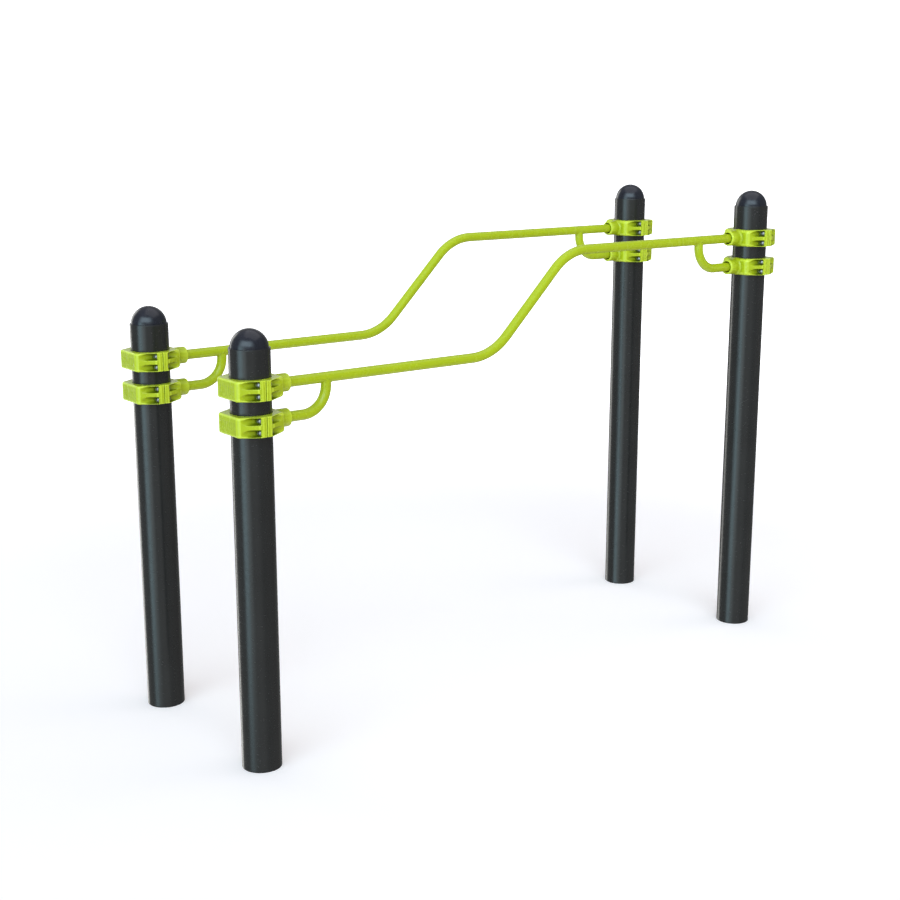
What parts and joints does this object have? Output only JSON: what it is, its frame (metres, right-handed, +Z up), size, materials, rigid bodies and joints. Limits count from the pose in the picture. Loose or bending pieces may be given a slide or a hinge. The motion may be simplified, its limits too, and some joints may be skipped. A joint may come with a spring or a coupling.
{
  "type": "stepped parallel bars",
  "caption": "Outdoor exercise station: parallel tube rails that step from a low run up a slope to a high run, clamped between round posts with domed caps.",
  "frame": {"origin": "on the ground, in the middle of the four posts", "axes": "+X along the rails from the low posts to the high posts, +Y across from the front rail to the back rail, +Z up"},
  "size_m": [2.391, 0.841, 1.7324],
  "materials": {
    "post_coat": "charcoal powder coat on steel tube, satin",
    "cap_coat": "blue-black powder coat on a cast dome, satin",
    "rail_coat": "lime green powder coat on steel tube, satin",
    "clamp_coat": "lime green powder coat on a casting, satin",
    "bolt_steel": "plain stainless steel"
  },
  "bodies": {
    "root": {"post_low_front": "post_coat", "post_cap_low_front": "cap_coat", "clamp_rear_low_front_upper": "clamp_coat", "clamp_socket_low_front_upper": "clamp_coat", "clamp_bolt_low_front_upper_1": "bolt_steel", "clamp_bolt_low_front_upper_2": "bolt_steel", "clamp_bolt_low_front_upper_3": "bolt_steel", "clamp_bolt_low_front_upper_4": "bolt_steel", "clamp_rear_low_front_lower": "clamp_coat", "clamp_socket_low_front_lower": "clamp_coat", "clamp_bolt_low_front_lower_1": "bolt_steel", "clamp_bolt_low_front_lower_2": "bolt_steel", "clamp_bolt_low_front_lower_3": "bolt_steel", "clamp_bolt_low_front_lower_4": "bolt_steel", "post_low_back": "post_coat", "post_cap_low_back": "cap_coat", "clamp_rear_low_back_upper": "clamp_coat", "clamp_socket_low_back_upper": "clamp_coat", "clamp_bolt_low_back_upper_1": "bolt_steel", "clamp_bolt_low_back_upper_2": "bolt_steel", "clamp_bolt_low_back_upper_3": "bolt_steel", "clamp_bolt_low_back_upper_4": "bolt_steel", "clamp_rear_low_back_lower": "clamp_coat", "clamp_socket_low_back_lower": "clamp_coat", "clamp_bolt_low_back_lower_1": "bolt_steel", "clamp_bolt_low_back_lower_2": "bolt_steel", "clamp_bolt_low_back_lower_3": "bolt_steel", "clamp_bolt_low_back_lower_4": "bolt_steel", "post_high_front": "post_coat", "post_cap_high_front": "cap_coat", "clamp_rear_high_front_upper": "clamp_coat", "clamp_socket_high_front_upper": "clamp_coat", "clamp_bolt_high_front_upper_1": "bolt_steel", "clamp_bolt_high_front_upper_2": "bolt_steel", "clamp_bolt_high_front_upper_3": "bolt_steel", "clamp_bolt_high_front_upper_4": "bolt_steel", "clamp_rear_high_front_lower": "clamp_coat", "clamp_socket_high_front_lower": "clamp_coat", "clamp_bolt_high_front_lower_1": "bolt_steel", "clamp_bolt_high_front_lower_2": "bolt_steel", "clamp_bolt_high_front_lower_3": "bolt_steel", "clamp_bolt_high_front_lower_4": "bolt_steel", "post_high_back": "post_coat", "post_cap_high_back": "cap_coat", "clamp_rear_high_back_upper": "clamp_coat", "clamp_socket_high_back_upper": "clamp_coat", "clamp_bolt_high_back_upper_1": "bolt_steel", "clamp_bolt_high_back_upper_2": "bolt_steel", "clamp_bolt_high_back_upper_3": "bolt_steel", "clamp_bolt_high_back_upper_4": "bolt_steel", "clamp_rear_high_back_lower": "clamp_coat", "clamp_socket_high_back_lower": "clamp_coat", "clamp_bolt_high_back_lower_1": "bolt_steel", "clamp_bolt_high_back_lower_2": "bolt_steel", "clamp_bolt_high_back_lower_3": "bolt_steel", "clamp_bolt_high_back_lower_4": "bolt_steel", "rail_front": "rail_coat", "rail_back": "rail_coat"}
  },
  "joints": []
}
